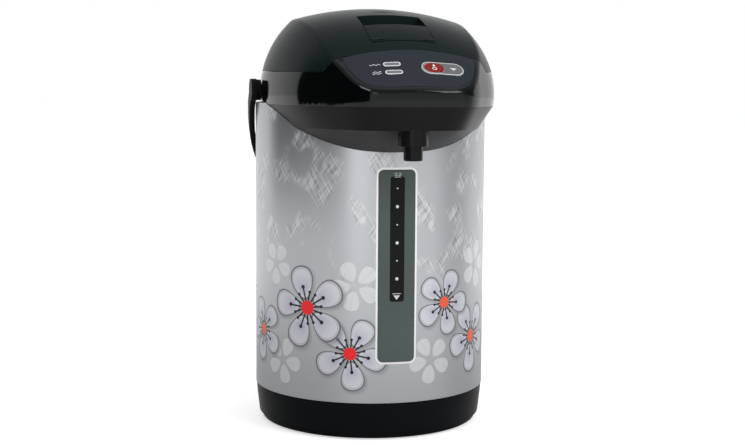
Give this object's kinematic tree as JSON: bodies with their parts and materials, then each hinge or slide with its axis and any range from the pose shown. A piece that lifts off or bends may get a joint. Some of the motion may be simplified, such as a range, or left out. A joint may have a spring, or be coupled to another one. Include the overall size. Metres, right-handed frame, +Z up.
{
  "type": "electric thermo pot",
  "caption": "Electric thermo pot with printed steel case, water gauge, hinged lid, pump and spout, panel with dispense button, carrying handle and swivel foot.",
  "frame": {"origin": "on the floor at the axis of the round body, at the underside of the foot's pad", "axes": "+Z up along the body's axis, -Y to the front (spout and panel), +X to the pot's left side"},
  "size_m": [0.211, 0.2849, 0.357],
  "materials": {
    "case_silver": "satin printed steel",
    "base_black": "satin",
    "head_black": "gloss",
    "lid_black": "satin gloss",
    "shoulder_grey": "satin",
    "panel_blue": "satin",
    "bezel_grey": "satin",
    "button_red": "gloss",
    "lens_grey": "gloss",
    "spout_black": "gloss",
    "handle_grey": "matte",
    "gauge_grey": "satin",
    "gauge_clear": "gloss",
    "tube_glass": "clear",
    "vessel_steel": "brushed",
    "sheet_steel": "zinc plated",
    "pin_steel": "plated",
    "seal_rubber": "silicone",
    "foot_rubber": "matte",
    "inner_plastic": "moulded",
    "pump_plastic": "moulded",
    "board_green": "coated",
    "mica": "layered",
    "magnet_grey": "sintered",
    "pin_brass": "bright",
    "led_clear": "clear"
  },
  "bodies": {
    "housing": {"base_plate": "base_black", "base_screws": "pin_steel", "base_skirt": "base_black", "power_inlet": "base_black", "inlet_pins": "pin_brass", "power_board": "board_green", "outer_case": "case_silver", "gauge_trim": "gauge_grey", "gauge_window": "gauge_clear", "gauge_tube": "tube_glass", "inner_vessel": "vessel_steel", "boil_heater": "mica", "warm_heater": "mica", "heater_clamps": "sheet_steel", "thermostat": "inner_plastic", "thermal_fuse": "pump_plastic", "heat_shield": "sheet_steel", "tie_rods": "sheet_steel", "pump_housing": "pump_plastic", "pump_cover": "pump_plastic", "motor_body": "sheet_steel", "motor_bracket": "sheet_steel", "motor_screws": "pin_steel", "lower_elbow": "seal_rubber", "upper_elbow": "seal_rubber", "spout_pipe": "pump_plastic", "spout_nozzle": "spout_black", "shoulder": "shoulder_grey", "neck_seal": "seal_rubber", "mouth_collar": "inner_plastic", "head_frame": "head_black", "panel_plate": "panel_blue", "button_bezel": "bezel_grey", "lamp_lenses": "lens_grey", "control_board": "board_green", "tact_switch": "inner_plastic", "lamp_leds": "led_clear", "hinge_bracket": "head_black", "hinge_pin": "pin_steel", "handle_pivots": "handle_grey"},
    "lid": {"lid_cover": "lid_black", "lid_lower": "inner_plastic", "lid_screws": "pin_steel", "inner_lid": "vessel_steel", "lid_gasket": "seal_rubber", "steam_duct": "pump_plastic", "steam_vent": "lid_black", "lever_pin": "pin_steel", "lever_spring": "pin_steel"},
    "lever": {"lid_lever": "lid_black"},
    "latch": {"latch_bolt": "inner_plastic"},
    "button": {"dispense_button": "button_red"},
    "drive": {"drive_rotor": "magnet_grey"},
    "impeller": {"pump_impeller": "pump_plastic"},
    "handle": {"bail_handle": "handle_grey", "handle_caps": "handle_grey"},
    "turntable": {"swivel_base": "base_black", "anti_slip_pad": "foot_rubber"}
  },
  "joints": [
    {"name": "turntable_swivel", "type": "hinge", "parent": "housing", "child": "turntable", "pos_m": [0, 0, 0], "axis": [0, 0, 1], "continuous": true},
    {"name": "lid_hinge", "type": "hinge", "parent": "housing", "child": "lid", "pos_m": [0, 0.091, 0.3025], "axis": [-1, 0, 0], "range_deg": [0, 80]},
    {"name": "lever_pivot", "type": "hinge", "parent": "lid", "child": "lever", "pos_m": [0, -0.1125, 0.32559], "axis": [1, 0, 0], "range_deg": [0, 25], "stiffness_Nm_per_rad": 0.05, "springref_deg": -17.19},
    {"name": "latch_slide", "type": "slide", "parent": "lid", "child": "latch", "axis": [0, 1, 0], "range_m": [0, 0.0068]},
    {"name": "button_press", "type": "slide", "parent": "housing", "child": "button", "axis": [-0.0546, 0.6229, -0.7804], "range_m": [0, 0.0015], "stiffness_N_per_m": 400, "springref_m": -0.001},
    {"name": "motor_spin", "type": "hinge", "parent": "housing", "child": "drive", "pos_m": [0, -0.04, 0.03], "axis": [0, 0, 1], "continuous": true},
    {"name": "impeller_spin", "type": "hinge", "parent": "housing", "child": "impeller", "pos_m": [0, -0.04, 0.05], "axis": [0, 0, 1], "continuous": true},
    {"name": "handle_swing", "type": "hinge", "parent": "housing", "child": "handle", "pos_m": [0, 0, 0.287], "axis": [1, 0, 0], "range_deg": [0, 205]}
  ],
  "couplings": [
    {"joint": "latch_slide", "follows": "lever_pivot", "m_per_rad": 0.0153},
    {"joint": "impeller_spin", "follows": "motor_spin", "ratio": 1}
  ]
}
